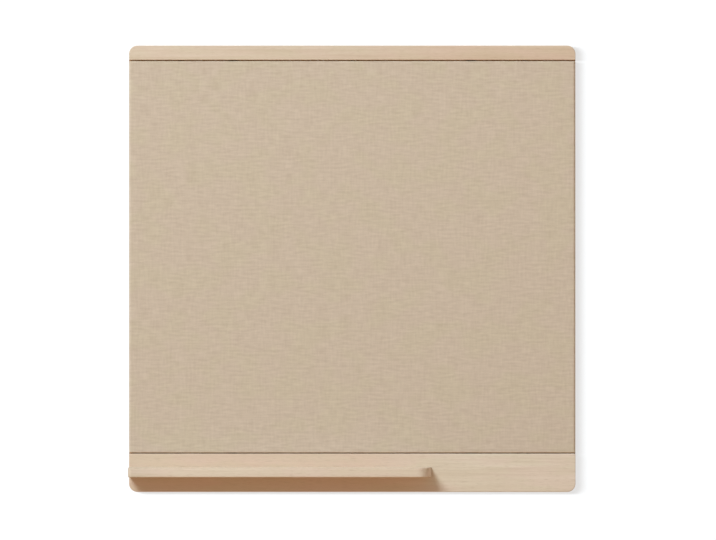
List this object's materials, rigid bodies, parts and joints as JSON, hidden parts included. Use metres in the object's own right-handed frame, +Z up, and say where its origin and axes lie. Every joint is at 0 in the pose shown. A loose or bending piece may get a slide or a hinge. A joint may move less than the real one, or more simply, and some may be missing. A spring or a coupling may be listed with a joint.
{
  "type": "notice board",
  "caption": "Square wall notice board: a linen-covered pin panel between an oak top rail and a taller oak bottom rail, with a narrow oak shelf along the left part of the bottom rail.",
  "frame": {"origin": "on the wall, midway between the two wall screws that the board hangs on", "axes": "+X to the right as seen from the front, +Y from the board to the wall, +Z up"},
  "size_m": [0.75, 0.077, 0.75],
  "materials": {
    "oak": "matte",
    "linen": "matte",
    "soft_board": "matte",
    "softwood": "matte",
    "hardboard": "satin",
    "beech": "matte",
    "zinc_steel": "satin",
    "pad_rubber": "matte"
  },
  "bodies": {
    "root": {"top_rail": "oak", "bottom_rail": "oak", "shelf": "oak", "linen_cover": "linen", "pin_core": "soft_board", "left_stile": "softwood", "right_stile": "softwood", "top_batten": "softwood", "middle_batten": "softwood", "bottom_batten": "softwood", "back_board": "hardboard", "top_dowel_left": "beech", "top_dowel_middle": "beech", "top_dowel_right": "beech", "bottom_dowel_left": "beech", "bottom_dowel_middle": "beech", "bottom_dowel_right": "beech", "top_joining_plate_left": "zinc_steel", "top_joining_plate_right": "zinc_steel", "bottom_joining_plate_left": "zinc_steel", "bottom_joining_plate_right": "zinc_steel", "keyhole_hanger_left": "zinc_steel", "keyhole_hanger_right": "zinc_steel", "shelf_screw_left": "zinc_steel", "shelf_screw_middle": "zinc_steel", "shelf_screw_right": "zinc_steel", "top_joining_screw_rail_left": "zinc_steel", "top_joining_screw_rail_right": "zinc_steel", "top_joining_screw_frame_left": "zinc_steel", "top_joining_screw_frame_right": "zinc_steel", "bottom_joining_screw_rail_left": "zinc_steel", "bottom_joining_screw_rail_right": "zinc_steel", "bottom_joining_screw_frame_left": "zinc_steel", "bottom_joining_screw_frame_right": "zinc_steel", "hanger_screw_upper_left": "zinc_steel", "hanger_screw_upper_right": "zinc_steel", "hanger_screw_lower_left": "zinc_steel", "hanger_screw_lower_right": "zinc_steel", "back_board_screw_top": "zinc_steel", "back_board_screw_bottom": "zinc_steel", "back_board_screw_left_upper": "zinc_steel", "back_board_screw_left_lower": "zinc_steel", "back_board_screw_right_upper": "zinc_steel", "back_board_screw_right_lower": "zinc_steel", "upper_wall_pad_left": "pad_rubber", "upper_wall_pad_right": "pad_rubber", "lower_wall_pad_left": "pad_rubber", "lower_wall_pad_right": "pad_rubber"}
  },
  "joints": []
}
